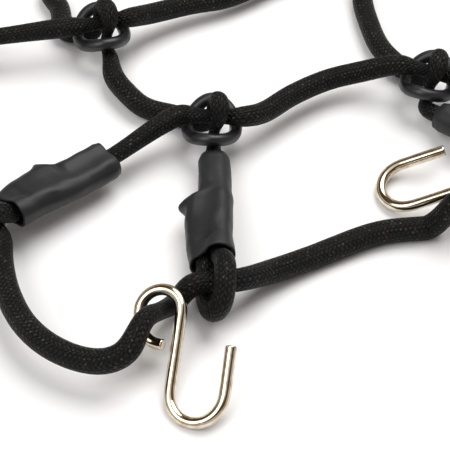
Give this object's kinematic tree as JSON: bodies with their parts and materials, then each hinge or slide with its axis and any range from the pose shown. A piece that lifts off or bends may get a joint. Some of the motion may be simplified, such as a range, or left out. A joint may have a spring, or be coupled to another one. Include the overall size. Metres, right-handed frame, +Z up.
{
  "type": "cargo net",
  "caption": "Square mesh of round elastic cords knotted through rubber rings, each end looped round an edge cord in a rubber sleeve, with wire hooks on the edge.",
  "frame": {"origin": "middle of the underside of the whole net with its hooks, on the surface it lies on", "axes": "+Z up from the surface; the row cords run along X and the column cords along Y"},
  "size_m": [0.3855, 0.344, 0.0186],
  "materials": {
    "cord": "braided black elastic cord",
    "ring": "smooth black rubber",
    "sleeve": "matt dark grey rubber",
    "hook": "bright nickel plate"
  },
  "bodies": {
    "root": {"edge_cord": "cord", "row_1": "cord", "row_1_start_sleeve": "sleeve", "row_1_end_sleeve": "sleeve", "row_2": "cord", "row_2_start_sleeve": "sleeve", "row_2_end_sleeve": "sleeve", "row_3": "cord", "row_3_start_sleeve": "sleeve", "row_3_end_sleeve": "sleeve", "row_4": "cord", "row_4_start_sleeve": "sleeve", "row_4_end_sleeve": "sleeve", "column_1": "cord", "column_1_start_sleeve": "sleeve", "column_1_end_sleeve": "sleeve", "column_2": "cord", "column_2_start_sleeve": "sleeve", "column_2_end_sleeve": "sleeve", "column_3": "cord", "column_3_start_sleeve": "sleeve", "column_3_end_sleeve": "sleeve", "column_4": "cord", "column_4_start_sleeve": "sleeve", "column_4_end_sleeve": "sleeve", "ring_1_1": "ring", "ring_2_1": "ring", "ring_3_1": "ring", "ring_4_1": "ring", "ring_1_2": "ring", "ring_2_2": "ring", "ring_3_2": "ring", "ring_4_2": "ring", "ring_1_3": "ring", "ring_2_3": "ring", "ring_3_3": "ring", "ring_4_3": "ring", "ring_1_4": "ring", "ring_2_4": "ring", "ring_3_4": "ring", "ring_4_4": "ring", "hook_1": "hook", "hook_2": "hook", "hook_3": "hook", "hook_4": "hook", "hook_5": "hook", "hook_6": "hook"}
  },
  "joints": []
}
